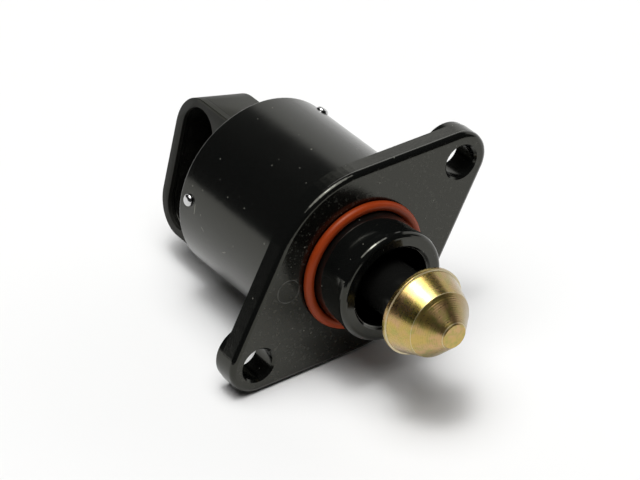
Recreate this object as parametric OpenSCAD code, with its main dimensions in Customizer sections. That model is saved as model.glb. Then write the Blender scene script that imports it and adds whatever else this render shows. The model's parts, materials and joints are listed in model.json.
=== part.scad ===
// Idle air control valve for an engine's throttle body.
// The valve axis is X and the pintle points to +X. The origin lies on that axis,
// in the front face of the mounting flange. The valve is turned about its axis
// so that one straight edge of the flange lies level underneath, as it rests.

/* [Flange] */
// Distance between the two bolt holes
bolt_spacing = 50; // [49:0.5:60]
// Diameter of each bolt hole
bolt_hole_d = 6.1; // [5:0.1:6.6]
// Chamfer at the front of each bolt hole
hole_chamfer = 0.4; // [0.1:0.1:0.7]
// Radius of each lug round its bolt hole
lug_r = 5.6; // [5.4:0.1:7]
// Radius of the flange round the valve axis
flange_r = 18.4; // [18:0.1:21]
// Thickness of the flange plate
flange_t = 3.8; // [3:0.1:5]
// Rounding of the flange's front edge
flange_round = 0.95; // [0.4:0.05:1.1]
// Radius of the boss behind each lug
boss_r = 5.4; // [4.5:0.1:6.5]
// Height of each boss behind the plate
boss_h = 1.4; // [0.5:0.1:2.2]

/* [Can] */
// Wall of the can at its rear end
can_wall = 2; // [1.6:0.1:2.3]
// Loss of the can's radius from its rear end to the flange
can_draft = 0.15; // [0.05:0.05:0.3]
// Rounding of the can's rear edge
can_edge = 0.5; // [0.2:0.1:1]
// Thickness of the solid floor in front of the stator
front_floor = 13.9; // [13.9:0.1:14.5]

/* [Spigot] */
// Radius of the spigot where the sealing ring sits
spigot_r = 10.5; // [10.2:0.1:11.5]
// Length of the spigot in front of the flange face
spigot_len = 9.3; // [8:0.1:9.4]
// Depth that the spigot's waist tapers down to before the lip
waist_cut = 0.35; // [0.1:0.05:0.6]
// Length of the lip at the spigot's end
lip_len = 2; // [1.4:0.1:3]
// Rounding of the lip's outer edge
lip_round = 1; // [0.3:0.1:1.2]
// Radius of the bore in the spigot
bore_r = 7.6; // [7:0.1:8]
// Chamfer at the mouth of the bore
bore_chamfer = 0.5; // [0.2:0.1:0.8]
// Depth of the bore behind the flange face
bore_floor = 2.5; // [2.3:0.1:3]

/* [Sealing ring] */
// Section diameter of the sealing ring
ring_d = 1.8; // [1.5:0.1:2.4]
// Depth of the shallow seat that the ring lies in
ring_seat = 0.25; // [0.1:0.05:0.5]

/* [Rear cover and connector] */
// Depth of the cover's rim inside the can
cover_rim_len = 3.9; // [3.9:0.1:4.4]
// Wall of the cover's rim
cover_rim_wall = 2.7; // [2.4:0.1:3]
// Thickness of the cover's plate
cover_plate = 1.5; // [1.3:0.1:1.8]
// Step from the can's rear end in to the cover's plate
cover_step = 0.2; // [0.1:0.1:0.4]
// Height of the connector block behind the cover
block_h = 15.1; // [14.8:0.1:18]
// Length of the connector block
block_len = 27; // [26.6:0.1:30]
// Depth of the block from its back to the mouth
block_depth = 10.95; // [9.6:0.05:13]
// Distance from the valve axis to the back of the block
block_back = 1; // [1:0.1:2]
// Radius of the block's rear corners
block_corner = 6.6; // [3:0.1:7]
// Clock angle between the mouth and the line of bolt holes
connector_clock = 45; // [0:5:90]
// Width of the socket
socket_w = 9.4; // [9:0.1:10]
// Wall at each end of the socket
socket_end_wall = 1.5; // [1.2:0.1:2]
// Wall between the socket and the block's rear side
socket_wall = 2.2; // [1.6:0.1:2.8]
// Depth of the socket
socket_depth = 8.65; // [7:0.05:8.9]
// Height of the latch ramp on the block's rear side
latch_h = 1.2; // [0.6:0.1:2]
// Width of the latch ramp
latch_w = 5; // [3:0.5:8]

/* [Terminals] */
// Distance between neighbouring terminals
terminal_pitch = 4.2; // [3.8:0.1:5.4]
// Width of each blade
blade_w = 1.6; // [1:0.1:2]
// Thickness of each blade
blade_t = 0.64; // [0.5:0.02:0.8]
// Length of each blade above the socket's floor
blade_len = 4.8; // [4:0.1:6.4]

/* [Retaining pins] */
// Radius of each pin's shank
pin_r = 0.7; // [0.5:0.1:0.8]
// Radius of each pin's domed head
pin_head_r = 1.15; // [1.1:0.05:1.4]
// Height of each domed head
pin_head_h = 0.65; // [0.4:0.05:1]
// Distance from the can's rear end to the pins
pin_inset = 2.7; // [2.6:0.1:2.8]

/* [Pintle] */
// Radius of the pintle's rim
pintle_r = 8.17; // [7:0.01:8.8]
// Distance from the flange face to the pintle's rear face
pintle_x = 17.3; // [17.3:0.1:19]
// Width of the pintle's rim
pintle_rim = 0.75; // [0.5:0.05:1.2]
// Step from the rim down to the first cone
pintle_step = 0.3; // [0.1:0.05:0.5]
// Length of the first cone
cone_1_len = 4.55; // [3:0.05:6]
// Radius where the first cone meets the second
pintle_mid_r = 6.2; // [5.2:0.05:6.8]
// Length of the second cone
cone_2_len = 4.1; // [3:0.1:6]
// Radius of the flat tip
pintle_tip_r = 2.3; // [1:0.1:3.5]

/* [Drive] */
// Radius of the lead screw
screw_r = 2.5; // [2.3:0.1:2.6]
// Distance across the lead screw's two flats
screw_flats = 3.8; // [3.2:0.1:4.2]
// Outer radius of the plunger sleeve
sleeve_r = 4.8; // [4.2:0.1:5.4]
// Length of the plunger sleeve behind the pintle
sleeve_len = 12.1; // [10:0.1:12.1]
// Way that the plunger can draw back from rest
travel_back = 7.5; // [6:0.1:7.5]
// Way that the plunger can move out from rest
travel_out = 2.5; // [1:0.1:2.5]
// Radius of the rotor magnet
magnet_r = 8.2; // [7.8:0.05:8.25]
// Bore radius of the rotor magnet
magnet_bore_r = 5.8; // [5.4:0.1:6.2]
// Length of the drive nut
nut_len = 5.4; // [4:0.1:6]
// Radius of the drive nut
nut_r = 4.2; // [3.8:0.1:4.6]

/* [Bearings] */
// Bore radius of the ball bearing
bearing_bore_r = 4; // [3.9:0.05:4.1]
// Outer radius of the ball bearing
bearing_r = 8; // [7.9:0.05:8.1]
// Width of the ball bearing
bearing_w = 5; // [4.6:0.1:5]
// Radius of each ball
ball_r = 1.19; // [1:0.01:1.25]
// Number of balls
ball_count = 11; // [7:1:11]
// Thickness of the spring washer in front of the bearing
washer_t = 0.3; // [0.2:0.05:0.4]
// Radius of the rotor's rear journal
journal_r = 3.8; // [3.7:0.05:3.9]
// Wall of the rear bush
bush_wall = 1.1; // [0.8:0.05:1.2]

/* [Stator] */
// Length of each of the two stator stacks
stack_len = 6.6; // [6.6:0.1:7.2]
// Depth of the stator from the claws out to the rims of its outer cups
stator_depth = 6.7; // [6.6:0.05:7]
// Claw poles on each stator cup
claw_count = 12; // [8:1:14]
// Sheet thickness of the stator cups
cup_t = 0.8; // [0.6:0.05:0.9]
// Gap between the rotor magnet and the claws
air_gap = 0.3; // [0.25:0.05:0.4]
// Wall of the coil bobbins
bobbin_wall = 0.6; // [0.4:0.05:0.7]

/* [Hidden] */
$fn = 96;

// Clearances
run_gap = 0.05;
seat_gap = 0.05;
slip_gap = 0.1;
end_play = 0.2;
cut = 1;

// Stator and can, built outward from the rotor and rearward from the front floor
claw_r = magnet_r + air_gap;
stator_r = claw_r + stator_depth;
can_bore_r = stator_r + slip_gap;
can_r = can_bore_r + can_wall;
can_depth = front_floor + 2 * (stack_len + seat_gap) + cover_rim_len + cover_step;

// Flange
half_spacing = bolt_spacing / 2;
rest_roll = asin((flange_r - lug_r) / half_spacing);
bolt_hole_r = bolt_hole_d / 2;
// Shallow round mark of an ejector pin in the flange face
mark_r = 2.2;
mark_depth = 0.05;
mark_place = [-13, 7.8];

// Sealing ring and spigot
ring_r = ring_d / 2;
ring_x = ring_r - ring_seat + seat_gap;
ring_path_r = spigot_r + seat_gap + ring_r;
ring_seat_r = ring_path_r + ring_r + slip_gap;
waist_r = spigot_r - waist_cut;
lip_x = spigot_len - lip_len;
arc_steps = 6;
edge_steps = 3;

// Front floor, from the bore back to the stator
guide_len = 3.5;
guide_r = 6.4;
guide_x = -bore_floor - guide_len;
shoulder_t = 2.2;
shoulder_r = 5;
bearing_x = guide_x - shoulder_t - washer_t - bearing_w;
bearing_mid = bearing_x + bearing_w / 2;
floor_x = -front_floor;

// Rear cover
cover_r = can_bore_r - slip_gap;
cover_x = cover_step - can_depth;
cover_front = cover_x + cover_rim_len;
plate_front = cover_x + cover_plate;
pin_x = pin_inset - can_depth;
pin_depth = 2.1;
pin_angles = [180 - connector_clock, 300 - connector_clock, 420 - connector_clock];
seal_r = 0.55;
seal_inset = 0.95;
seal_x = cover_x + seal_inset;
seal_path_r = can_bore_r - seal_r - seat_gap;

// Connector
mouth_clock = 180 - connector_clock;
socket_len = block_len - 2 * socket_end_wall;
block_x = cover_x - block_h;
mouth_m = block_depth - block_back;
socket_floor = mouth_m - socket_depth;
socket_x = block_x + socket_wall + socket_w / 2;
mouth_bevel = 0.2;
latch_len = 3;
latch_flat = 0.8;

// Terminals
strip_m = (socket_floor - block_back) / 2;
leg_in_h = 7.6;
leg_out_h = 10.4;
blade_run = 1.6;
leg_run = 1.2;
leg_stand = 1.2;
bend_x = socket_x + blade_run;
run_x = cover_x - leg_run;
leg_tip_x = plate_front + leg_stand;

// Rotor
bush_floor = 1.1;
rear_pocket_x = cover_x + bush_floor;
bush_front = cover_front - end_play;
bush_r = journal_r + run_gap + bush_wall;
bush_boss_wall = 1.3;
hub_rear = rear_pocket_x + end_play;
hub_end_wall = 0.6;
hub_collar = 0.9;
magnet_room_front = 0.7;
magnet_room_rear = 1;
magnet_front = floor_x - magnet_room_front;
magnet_rear = cover_front + magnet_room_rear;
screw_room = 0.25;
hub_bore_r = screw_r + screw_room;
hub_front = bearing_x + bearing_w - slip_gap;
hub_collar_r = bearing_bore_r + hub_collar;
nut_room = 0.4;
nut_front = floor_x - nut_room;
nut_rear = nut_front - nut_len;

// Plunger
stop_room = 0.3;
screw_rear = hub_rear + hub_end_wall + travel_back + stop_room;
sleeve_seat = 1.8;
screw_grip = 5.4;
screw_front = pintle_x + screw_grip;
flats_rear = guide_x - travel_out - stop_room;
flats_front = pintle_x - sleeve_len - slip_gap;
mid_x = pintle_x + pintle_rim + cone_1_len;
tip_x = mid_x + cone_2_len;
tip_bevel = 0.25;

// Bearing races
ball_path_r = (bearing_bore_r + bearing_r) / 2;
ball_gap = 0.03;
groove_r = ball_r + ball_gap;
race_gap = 0.9;
cage_wall = 0.45;
cage_half_w = 1.65;

// Stator
stack_front = floor_x;
claw_room = 0.3;
claw_pitch = 360 / claw_count;
// Half width of a claw at its root and its tip, as a share of the pitch
claw_root = 0.29;
claw_tip = 0.12;

// Colours
black_satin = [0.07, 0.07, 0.075];
black_matte = [0.10, 0.10, 0.10];
orange_seal = [0.72, 0.27, 0.13];
zinc_gold = [0.80, 0.70, 0.44];
steel = [0.72, 0.72, 0.74];
tin = [0.82, 0.81, 0.78];
dark_steel = [0.35, 0.35, 0.37];
magnet_grey = [0.22, 0.22, 0.24];
brass = [0.80, 0.64, 0.30];
bobbin_white = [0.86, 0.84, 0.76];
copper = [0.72, 0.40, 0.22];

// Turns the whole valve from its own frame to the way it rests
module rolled() {
    rotate([rest_roll, 0, 0]) children();
}

// Solid of revolution about X from points [x, radius]
module turned(points) {
    rotate([0, 90, 0]) rotate_extrude() polygon([for (p = points) [p[1], p[0]]]);
}

// Plain ring about X
module ring_x(x0, x1, r_in, r_out) {
    turned([[x0, r_in], [x1, r_in], [x1, r_out], [x0, r_out]]);
}

// Flat shape in the YZ plane, from x0 to x1
module plate(x0, x1) {
    translate([x0, 0, 0]) rotate([90, 0, 90]) linear_extrude(x1 - x0) children();
}

// Quarter arc between two directions, as points [x, radius]
function arc_points(cx, cr, r, a0, a1, steps = arc_steps) =
    [for (i = [0 : steps]) let (a = a0 + (a1 - a0) * i / steps)
        [cx + r * cos(a), cr + r * sin(a)]];

module at_lugs() {
    for (side = [-1, 1]) translate([0, side * half_spacing, 0]) children();
}

module rounded_disc(r) {
    turned(concat(
        [[-flange_t, 0], [-flange_t, r]],
        arc_points(-flange_round, r - flange_round, flange_round, 90, 0, edge_steps),
        [[0, 0]]));
}

// Arcs round the axis and round each bolt hole, joined by their four tangents
module flange() {
    hull() {
        rounded_disc(flange_r);
        at_lugs() rounded_disc(lug_r);
    }
    at_lugs() ring_x(-flange_t - boss_h, -flange_t, 0, boss_r);
}

module can_and_spigot() {
    turned(concat(
        [[-can_depth, 0]],
        arc_points(-can_depth + can_edge, can_r - can_edge, can_edge, 180, 90),
        [[-flange_t, can_r - can_draft], [-flange_t, spigot_r], [ring_d, spigot_r],
         [lip_x - waist_cut, waist_r], [lip_x, spigot_r]],
        arc_points(spigot_len - lip_round, spigot_r - lip_round, lip_round, 90, 0),
        [[spigot_len, 0]]));
}

module housing_inside() {
    // Stator chamber, bearing seat, shoulder, guide seat and bore
    turned([
        [-can_depth - cut, 0],
        [-can_depth - cut, can_bore_r],
        [floor_x, can_bore_r],
        [floor_x, bearing_r + seat_gap],
        [bearing_x + bearing_w + washer_t, bearing_r + seat_gap],
        [bearing_x + bearing_w + washer_t, shoulder_r],
        [guide_x, shoulder_r],
        [guide_x, guide_r + seat_gap],
        [-bore_floor, guide_r + seat_gap],
        [-bore_floor, bore_r],
        [spigot_len - bore_chamfer, bore_r],
        [spigot_len + cut, bore_r + bore_chamfer + cut],
        [spigot_len + cut, 0]
    ]);
}

module bolt_hole() {
    ring_x(-flange_t - boss_h - cut, cut, 0, bolt_hole_r);
    turned([[-hole_chamfer, 0], [-hole_chamfer, bolt_hole_r],
            [cut, bolt_hole_r + hole_chamfer + cut], [cut, 0]]);
}

module front_housing() {
    color(black_satin) rolled() difference() {
        union() {
            can_and_spigot();
            flange();
        }
        housing_inside();
        ring_x(-ring_seat, cut, spigot_r, ring_seat_r);
        translate([0, mark_place.x, mark_place.y]) ring_x(-mark_depth, cut, 0, mark_r);
        at_lugs() bolt_hole();
        at_pins() cylinder(r = pin_r + run_gap, h = can_r);
    }
}

module o_ring() {
    color(orange_seal) rolled() rotate([0, 90, 0]) rotate_extrude()
        translate([ring_path_r, ring_x]) circle(r = ring_r);
}

// Each retaining pin points outward from the axis
module at_pins() {
    for (a = pin_angles) rotate([a - 90, 0, 0]) translate([pin_x, 0, 0]) children();
}

module retaining_pins() {
    foot = cover_r - pin_depth;
    dome_r = (pin_head_r * pin_head_r + pin_head_h * pin_head_h) / (2 * pin_head_h);
    dome_a = asin(min(1, pin_head_r / dome_r));
    color(steel) rolled() at_pins() rotate_extrude() polygon(concat(
        [[0, foot], [pin_r, foot], [pin_r, can_r], [pin_head_r, can_r]],
        [for (i = [1 : arc_steps]) let (a = dome_a * (1 - i / arc_steps))
            [dome_r * sin(a), can_r + pin_head_h - dome_r + dome_r * cos(a)]]));
}

module cover_seal() {
    color(orange_seal) rolled() rotate([0, 90, 0]) rotate_extrude()
        translate([seal_path_r, seal_x]) circle(r = seal_r);
}

// Frame of the connector: children are drawn in X and Y, where Y is along the socket,
// and stand up in Z, which points out of the mouth
module toward_mouth(m) {
    rotate([mouth_clock - 90, 0, 0]) translate([0, 0, m]) children();
}

module block_outline(inset) {
    half = block_len / 2 - inset;
    rear = block_x + inset;
    front = cover_x + cover_plate / 2;
    translate([rear + block_corner, -half]) square([front - rear - block_corner, 2 * half]);
    translate([rear, -half + block_corner])
        square([block_corner + cut, 2 * (half - block_corner)]);
    for (side = [-1, 1]) translate([rear + block_corner, side * (half - block_corner)])
        circle(r = block_corner);
}

module socket_outline(grow) {
    r = socket_w / 2 + grow;
    run = socket_len / 2 - socket_w / 2;
    translate([socket_x - r, -run]) square([2 * r, 2 * run]);
    for (side = [-1, 1]) translate([socket_x, side * run]) circle(r = r);
}

module connector_block() {
    toward_mouth(-block_back) linear_extrude(block_depth - mouth_bevel) block_outline(0);
    toward_mouth(mouth_m) mirror([0, 0, 1]) linear_extrude(mouth_bevel + cut)
        block_outline(mouth_bevel);
    // Ramp that a plug's latch snaps over
    toward_mouth(mouth_m - mouth_bevel - latch_len) rotate([90, 0, 0])
        translate([0, 0, -latch_w / 2]) linear_extrude(latch_w)
        polygon([[block_x + cut, 0], [block_x - latch_h, 0],
                 [block_x - latch_h, latch_flat], [block_x, latch_len], [block_x + cut, latch_len]]);
}

module rear_cover() {
    color(black_matte) rolled() difference() {
        union() {
            turned([[cover_x, 0], [cover_x, cover_r], [cover_front, cover_r],
                    [cover_front, cover_r - cover_rim_wall],
                    [plate_front, cover_r - cover_rim_wall],
                    [plate_front, bush_r + bush_boss_wall],
                    [bush_front, bush_r + bush_boss_wall], [bush_front, 0]]);
            connector_block();
        }
        // Clearance over the can's rear end
        ring_x(-can_depth - seat_gap, cover_x + cut, cover_r, can_r + cut);
        // Pocket of the rear bush
        ring_x(rear_pocket_x, cover_front + cut, 0, bush_r + seat_gap);
        // Groove of the cover seal
        ring_x(seal_x - seal_r - seat_gap, seal_x + seal_r + seat_gap,
               seal_path_r - seal_r - seat_gap, can_r);
        toward_mouth(socket_floor) linear_extrude(socket_depth + cut) socket_outline(0);
        at_pins() translate([0, 0, cover_r - pin_depth - seat_gap])
            cylinder(r = pin_r + run_gap, h = pin_depth + cut);
        for (i = [0 : 3]) terminal_shape(i);
    }
}

// Blade in the socket, then a flat strip in the block's back and a leg through the plate
module terminal_shape(i) {
    h = (i - 1.5) * terminal_pitch;
    side = sign(h);
    leg = side * (abs(h) < terminal_pitch ? leg_in_h : leg_out_h);
    w = blade_w / 2;
    toward_mouth(strip_m - blade_t / 2) linear_extrude(blade_t) polygon([
        [socket_x - blade_t / 2, h - w], [bend_x, h - w], [run_x, leg - w], [leg_tip_x, leg - w],
        [leg_tip_x, leg + w], [run_x, leg + w], [bend_x, h + w], [socket_x - blade_t / 2, h + w]
    ]);
    toward_mouth(strip_m) translate([socket_x - blade_t / 2, h - w, 0])
        cube([blade_t, blade_w, socket_floor - strip_m + blade_len - blade_w / 2]);
    // Tapered tip of the blade
    toward_mouth(socket_floor + blade_len - blade_w / 2) rotate([90, 0, 90])
        translate([h, 0, socket_x - blade_t / 2]) linear_extrude(blade_t)
        polygon([[-w, 0], [w, 0], [w / 2, w], [-w / 2, w]]);
}

module terminal(i) {
    color(tin) rolled() terminal_shape(i);
}

module terminal_1() { terminal(0); }
module terminal_2() { terminal(1); }
module terminal_3() { terminal(2); }
module terminal_4() { terminal(3); }

module pintle() {
    rim_edge = 0.2;
    cone_r = pintle_r - pintle_step;
    color(zinc_gold) rolled() turned([
        [pintle_x, sleeve_r + seat_gap],
        [pintle_x, pintle_r - rim_edge],
        [pintle_x + rim_edge, pintle_r],
        [pintle_x + pintle_rim - rim_edge, pintle_r],
        [pintle_x + pintle_rim, pintle_r - rim_edge],
        [pintle_x + pintle_rim, cone_r],
        [mid_x, pintle_mid_r],
        [tip_x - tip_bevel, pintle_tip_r + tip_bevel / 2],
        [tip_x, pintle_tip_r - tip_bevel / 2],
        [tip_x, 0],
        [screw_front + slip_gap, 0],
        [screw_front + slip_gap, screw_r + seat_gap],
        [pintle_x + sleeve_seat + seat_gap, screw_r + seat_gap],
        [pintle_x + sleeve_seat + seat_gap, sleeve_r + seat_gap]
    ]);
}

module plunger_sleeve() {
    end_bevel = 0.5;
    rear = pintle_x - sleeve_len;
    color(black_matte) rolled() turned([
        [rear, screw_r + seat_gap],
        [rear, sleeve_r - end_bevel],
        [rear + end_bevel, sleeve_r],
        [pintle_x + sleeve_seat, sleeve_r],
        [pintle_x + sleeve_seat, screw_r + seat_gap]
    ]);
}

module lead_screw() {
    end_bevel = 0.4;
    color(steel) rolled() difference() {
        turned([[screw_rear, 0], [screw_rear, screw_r - end_bevel],
                [screw_rear + end_bevel, screw_r], [screw_front - end_bevel, screw_r],
                [screw_front, screw_r - end_bevel], [screw_front, 0]]);
        for (side = [-1, 1]) translate([flats_rear, -screw_r, side * screw_r - screw_r
                                        + side * screw_flats / 2])
            cube([flats_front - flats_rear, 2 * screw_r, 2 * screw_r]);
    }
}

// Guide with a double-D hole, which keeps the lead screw from turning
module screw_guide() {
    color(black_matte) rolled() difference() {
        ring_x(guide_x, -bore_floor, 0, guide_r);
        intersection() {
            ring_x(guide_x - cut, cut, 0, screw_r + run_gap);
            translate([guide_x - cut, -screw_r - cut, -screw_flats / 2 - run_gap])
                cube([guide_len + bore_floor + 2 * cut, 2 * (screw_r + cut),
                      screw_flats + 2 * run_gap]);
        }
    }
}

module rotor_hub() {
    color(bobbin_white) rolled() difference() {
        turned([
            [hub_rear, 0],
            [hub_rear, journal_r],
            [bush_front + slip_gap, journal_r],
            [bush_front + slip_gap, magnet_bore_r - seat_gap],
            [magnet_front, magnet_bore_r - seat_gap],
            [magnet_front, hub_collar_r],
            [bearing_x, hub_collar_r],
            [bearing_x, bearing_bore_r - seat_gap],
            [hub_front, bearing_bore_r - seat_gap],
            [hub_front, 0]
        ]);
        ring_x(hub_rear + hub_end_wall, hub_front + cut, 0, hub_bore_r);
        ring_x(nut_rear, nut_front, 0, nut_r);
    }
}

module rotor_magnet() {
    color(magnet_grey) rolled() ring_x(magnet_rear, magnet_front, magnet_bore_r, magnet_r);
}

module drive_nut() {
    color(brass) rolled() ring_x(nut_rear, nut_front, screw_r + run_gap, nut_r - seat_gap);
}

module ball_groove() {
    rotate([0, 90, 0]) rotate_extrude()
        translate([ball_path_r, bearing_mid]) circle(r = groove_r);
}

module bearing_outer_race() {
    color(steel) rolled() difference() {
        ring_x(bearing_x, bearing_x + bearing_w, ball_path_r + race_gap, bearing_r);
        ball_groove();
    }
}

module bearing_inner_race() {
    color(steel) rolled() difference() {
        ring_x(bearing_x, bearing_x + bearing_w, bearing_bore_r, ball_path_r - race_gap);
        ball_groove();
    }
}

module at_balls() {
    for (i = [0 : ball_count - 1]) rotate([i * 360 / ball_count, 0, 0])
        translate([bearing_mid, ball_path_r, 0]) children();
}

module bearing_balls() {
    color(steel) rolled() at_balls() sphere(r = ball_r);
}

module bearing_cage() {
    color(brass) rolled() difference() {
        ring_x(bearing_mid - cage_half_w, bearing_mid + cage_half_w,
               ball_path_r - cage_wall, ball_path_r + cage_wall);
        at_balls() rotate([90, 0, 0]) cylinder(r = ball_r + 2 * ball_gap, h = 4 * cage_wall, center = true);
    }
}

module spring_washer() {
    washer_x = bearing_x + bearing_w;
    color(dark_steel) rolled() ring_x(washer_x, washer_x + washer_t,
                                      ball_path_r + race_gap, bearing_r - slip_gap);
}

module rear_bush() {
    color(brass) rolled() ring_x(rear_pocket_x, bush_front, journal_r + run_gap, bush_r);
}

// Tapered claws on a cylinder round the rotor, from root to tip along X
module claws(root_x, tip_x, clock) {
    reach = claw_r + cup_t;
    w_root = 2 * PI * claw_r / claw_count * claw_root;
    w_tip = 2 * PI * claw_r / claw_count * claw_tip;
    intersection() {
        ring_x(min(root_x, tip_x), max(root_x, tip_x), claw_r, claw_r + cup_t);
        for (i = [0 : claw_count - 1]) rotate([clock + i * claw_pitch, 0, 0]) rotate([-90, 0, 0])
            linear_extrude(reach + cut) polygon([[root_x, -w_root], [tip_x, -w_tip],
                                                 [tip_x, w_tip], [root_x, w_root]]);
    }
}

// One stack holds an outer cup, an inner cup, a bobbin and its coil.
// front is where the stack begins, and dir is -1 when it is built rearward
module outer_cup(front, clock) {
    rear = front - stack_len;
    color(dark_steel) rolled() {
        ring_x(front - cup_t, front, claw_r, stator_r);
        ring_x(rear, front, stator_r - cup_t, stator_r);
        claws(front - cup_t / 2, rear + cup_t + claw_room, clock);
    }
}

module inner_cup(front, clock) {
    rear = front - stack_len;
    color(dark_steel) rolled() {
        ring_x(rear, rear + cup_t, claw_r, stator_r - cup_t - seat_gap);
        claws(rear + cup_t / 2, front - cup_t - claw_room, clock + claw_pitch / 2);
    }
}

module bobbin(front) {
    x0 = front - stack_len + cup_t + seat_gap;
    x1 = front - cup_t - seat_gap;
    r0 = claw_r + cup_t + slip_gap;
    r1 = stator_r - cup_t - slip_gap;
    color(bobbin_white) rolled() turned([
        [x0, r0], [x0, r1], [x0 + bobbin_wall, r1], [x0 + bobbin_wall, r0 + bobbin_wall],
        [x1 - bobbin_wall, r0 + bobbin_wall], [x1 - bobbin_wall, r1], [x1, r1], [x1, r0]
    ]);
}

module coil(front) {
    x0 = front - stack_len + cup_t + bobbin_wall + 2 * seat_gap;
    x1 = front - cup_t - bobbin_wall - 2 * seat_gap;
    r0 = claw_r + cup_t + slip_gap + bobbin_wall + seat_gap;
    color(copper) rolled() ring_x(x0, x1, r0, stator_r - cup_t - 3 * slip_gap);
}

module front_stator_outer_cup() { outer_cup(stack_front, 0); }
module front_stator_inner_cup() { inner_cup(stack_front, 0); }
module front_bobbin() { bobbin(stack_front); }
module front_coil() { coil(stack_front); }
module rear_stator_outer_cup() { outer_cup(stack_front - stack_len, claw_pitch / 4); }
module rear_stator_inner_cup() { inner_cup(stack_front - stack_len, claw_pitch / 4); }
module rear_bobbin() { bobbin(stack_front - stack_len); }
module rear_coil() { coil(stack_front - stack_len); }

front_housing();
o_ring();
rear_cover();
cover_seal();
retaining_pins();
terminal_1();
terminal_2();
terminal_3();
terminal_4();
pintle();
plunger_sleeve();
lead_screw();
screw_guide();
rotor_hub();
rotor_magnet();
drive_nut();
bearing_outer_race();
bearing_inner_race();
bearing_balls();
bearing_cage();
spring_washer();
rear_bush();
front_stator_outer_cup();
front_stator_inner_cup();
front_bobbin();
front_coil();
rear_stator_outer_cup();
rear_stator_inner_cup();
rear_bobbin();
rear_coil();
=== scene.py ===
import json
import math

import bmesh
import bpy
from mathutils import Matrix, Vector


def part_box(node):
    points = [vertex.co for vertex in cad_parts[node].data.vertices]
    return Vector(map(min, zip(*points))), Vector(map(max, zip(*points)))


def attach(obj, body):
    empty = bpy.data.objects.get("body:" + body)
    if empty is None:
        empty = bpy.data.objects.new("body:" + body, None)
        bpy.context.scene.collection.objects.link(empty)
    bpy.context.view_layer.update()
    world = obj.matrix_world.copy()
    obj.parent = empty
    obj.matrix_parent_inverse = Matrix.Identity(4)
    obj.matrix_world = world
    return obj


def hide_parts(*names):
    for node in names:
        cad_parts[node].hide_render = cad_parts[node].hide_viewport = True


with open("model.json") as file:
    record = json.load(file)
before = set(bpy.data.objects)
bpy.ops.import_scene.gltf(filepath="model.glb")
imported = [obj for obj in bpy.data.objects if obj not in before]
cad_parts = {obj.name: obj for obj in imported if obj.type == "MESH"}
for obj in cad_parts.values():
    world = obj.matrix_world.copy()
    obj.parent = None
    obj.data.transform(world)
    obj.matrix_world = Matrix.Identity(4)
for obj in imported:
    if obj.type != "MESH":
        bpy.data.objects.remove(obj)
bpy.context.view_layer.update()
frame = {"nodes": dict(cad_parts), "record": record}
nodes = frame["nodes"]
mm = 0.001
print("frame loaded")


# Camera, floor and lamps

view = {
    "aim": Vector((-5.87, -4.48, 3.36)) * mm,
    "azimuth": 54.94,      # degrees from -Y toward +X
    "elevation": 33.61,
    "roll": -0.15,
    "distance": 481.5 * mm,
    "lens": 156.7,
    "nearest": 10 * mm,
}
resting = {
    "flangeBack": Vector((-3.8, 0, -18.4)) * mm,   # low rear edge of the flange
    "canRear": Vector((-30.8, 0, -17.3)) * mm,     # low rear edge of the can
    "floorSize": 6.0,
}
paperLook = {
    "colour": (0.86, 0.86, 0.855),
    "shade": (0.84, 0.84, 0.84),
    "shadeShare": 0.1,
    "cloud": 400,                    # millimetres
    "roughness": 0.9,
    "shine": 0.1,
}
studio = {
    "lamps": {                       # strength, and the degrees that each spans
        "overhead": (2.24, 54),
        "overheadMiddle": (0.56, 26),
        "overheadCore": (0.54, 13),
    },
    "lampFrom": (0.03, -0.105, 1.0),
    "room": 0.02,                    # dim room above the horizon
    "colour": (1, 1, 0.99),
    "backLight": 0.92,
    "backToward": (-0.60, 0.80),     # pale backdrop behind the valve
    "backRise": 0.60,                # sine of the backdrop's height
    "backSpread": 0.55,              # cosine of its half width
    "softEdge": 0.05,
}


def makeCamera():
    az, el = math.radians(view["azimuth"]), math.radians(view["elevation"])
    back = Vector((math.sin(az) * math.cos(el), -math.cos(az) * math.cos(el), math.sin(el)))
    data = bpy.data.cameras.new("camera")
    data.lens = view["lens"]
    data.clip_start = view["nearest"]
    camera = bpy.data.objects.new("camera", data)
    camera.matrix_world = (Matrix.Translation(view["aim"] + back * view["distance"])
                           @ back.to_track_quat("Z", "Y").to_matrix().to_4x4()
                           @ Matrix.Rotation(math.radians(view["roll"]), 4, "Z"))
    bpy.context.scene.collection.objects.link(camera)
    bpy.context.scene.camera = camera
    bpy.context.scene.view_settings.view_transform = "Standard"


# Sockets with arithmetic, and trees that make their nodes from settings and values

class Wire:
    def __init__(self, tree, socket):
        self.tree, self.socket = tree, socket

    def math(self, operation, other=None, flip=False):
        values = [self] if other is None else [self, other]
        if flip:
            values.reverse()
        return self.tree.put("ShaderNodeMath", {"operation": operation}, dict(enumerate(values)))

    def __add__(self, other): return self.math("ADD", other)
    def __radd__(self, other): return self.math("ADD", other)
    def __sub__(self, other): return self.math("SUBTRACT", other)
    def __rsub__(self, other): return self.math("SUBTRACT", other, flip=True)
    def __mul__(self, other): return self.math("MULTIPLY", other)
    def __rmul__(self, other): return self.math("MULTIPLY", other)
    def __truediv__(self, other): return self.math("DIVIDE", other)
    def __pow__(self, other): return self.math("POWER", other)
    def most(self, other): return self.math("MAXIMUM", other)
    def least(self, other): return self.math("MINIMUM", other)
    def above(self, other): return self.math("GREATER_THAN", other)
    def below(self, other): return self.math("LESS_THAN", other)
    def clamp(self): return self.most(0.0).least(1.0)

    # 0 before start and 1 after end
    def step(self, start, end):
        return ((self - start) * (1 / (end - start))).clamp()


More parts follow.
